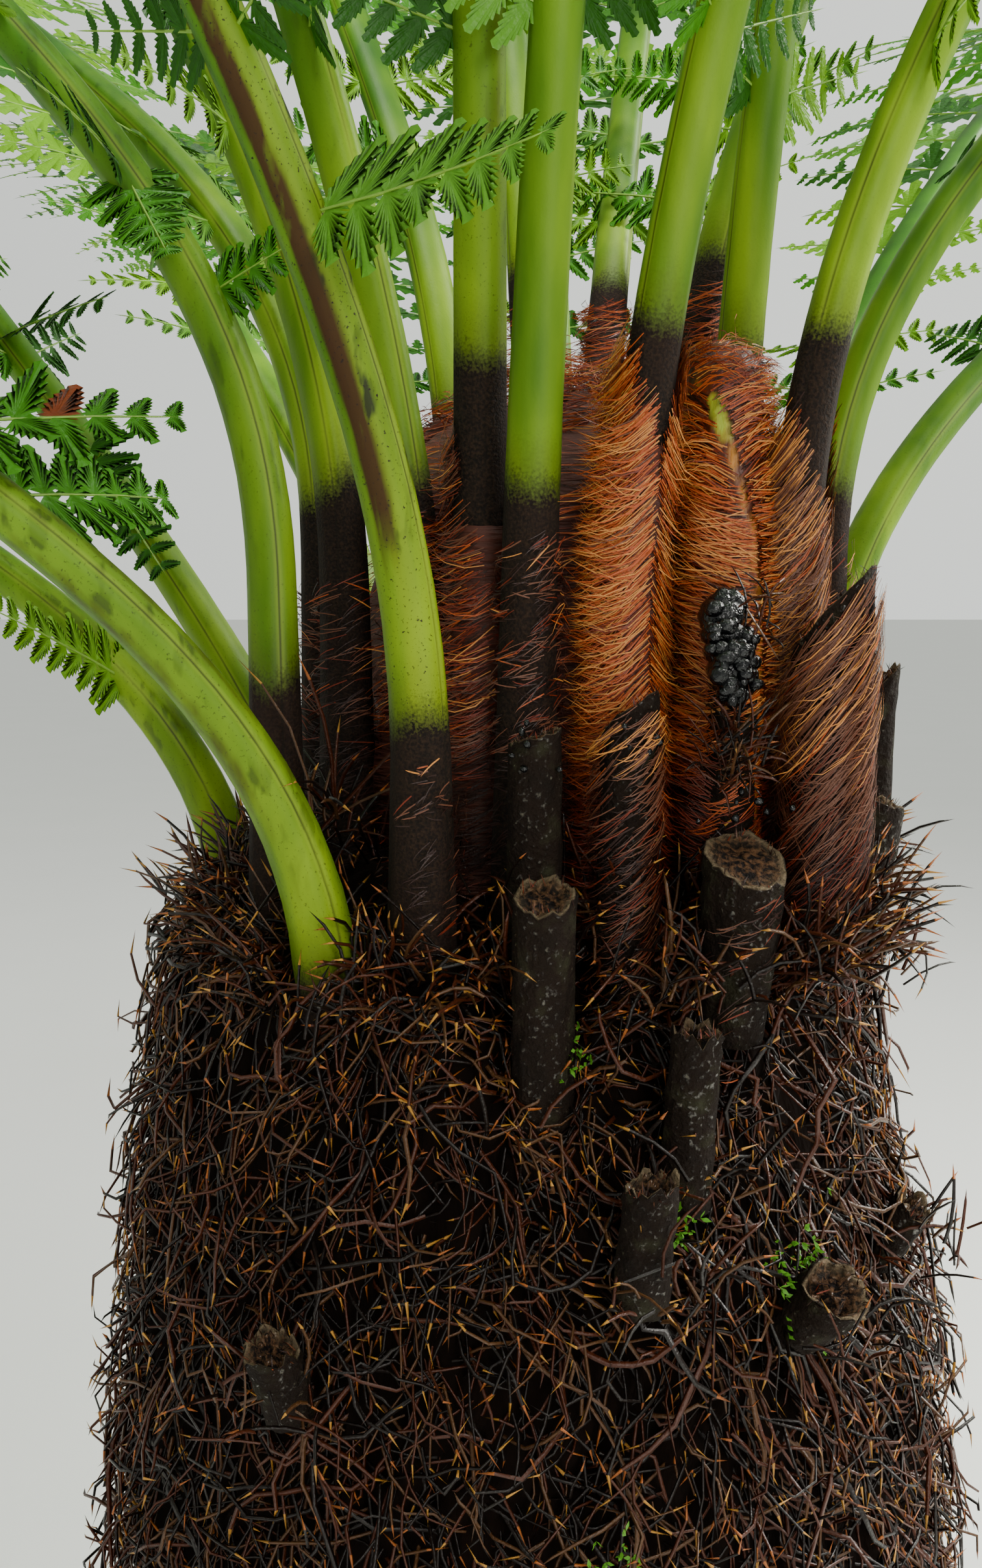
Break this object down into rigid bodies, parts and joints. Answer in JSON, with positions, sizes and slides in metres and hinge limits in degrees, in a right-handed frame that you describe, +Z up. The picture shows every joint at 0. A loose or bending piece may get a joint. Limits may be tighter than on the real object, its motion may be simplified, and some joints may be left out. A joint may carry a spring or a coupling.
{
  "type": "tree fern",
  "caption": "Tree fern rooted in the ground: a trunk wrapped in wiry aerial roots, a crown of arching divided fronds round a rusty, hairy heart, and the stubs of cut fronds.",
  "frame": {"origin": "middle of the flat cut under the trunk, at ground level", "axes": "+Z up the trunk, -Y towards the viewer of the picture, +X to the right"},
  "size_m": [3.2112, 2.7808, 2.1416],
  "materials": {
    "root_mantle": "dark brown wiry aerial roots with ochre tips, over a near-black fibrous body",
    "rusty_hair": "long combed orange-brown hair with a silky glint",
    "old_stub": "blackened, rough leaf stalk with a paler brown cut face",
    "frond": "smooth waxy green stalk and fresh green leaflets"
  },
  "bodies": {
    "root": {"trunk": "root_mantle", "heart": "rusty_hair", "stub_01": "old_stub", "stub_02": "old_stub", "stub_03": "old_stub", "stub_04": "old_stub", "stub_05": "old_stub", "stub_06": "old_stub", "stub_07": "old_stub", "stub_08": "old_stub", "stub_09": "old_stub", "stub_10": "old_stub", "frond_01_base": "frond", "frond_01_tip": "frond", "frond_02_base": "frond", "frond_02_tip": "frond", "frond_03_base": "frond", "frond_03_tip": "frond", "frond_04_base": "frond", "frond_04_tip": "frond", "frond_05_base": "frond", "frond_05_tip": "frond", "frond_06_base": "frond", "frond_06_tip": "frond", "frond_07_base": "frond", "frond_07_tip": "frond", "frond_08_base": "frond", "frond_08_tip": "frond", "frond_09_base": "frond", "frond_09_tip": "frond", "frond_10_base": "frond", "frond_10_tip": "frond", "frond_11_base": "frond", "frond_11_tip": "frond", "frond_12_base": "frond", "frond_12_tip": "frond", "frond_13_base": "frond", "frond_13_tip": "frond", "frond_14_base": "frond", "frond_14_tip": "frond", "frond_15_base": "frond", "frond_15_tip": "frond", "frond_16_base": "frond", "frond_16_tip": "frond", "frond_17_base": "frond", "frond_17_tip": "frond", "frond_18_base": "frond", "frond_18_tip": "frond", "frond_19_base": "frond", "frond_19_tip": "frond", "frond_20_base": "frond", "frond_20_tip": "frond", "frond_21_base": "frond", "frond_21_tip": "frond", "frond_22_base": "frond", "frond_22_tip": "frond", "frond_23_base": "frond", "frond_23_tip": "frond", "frond_24_base": "frond", "frond_24_tip": "frond"}
  },
  "joints": []
}
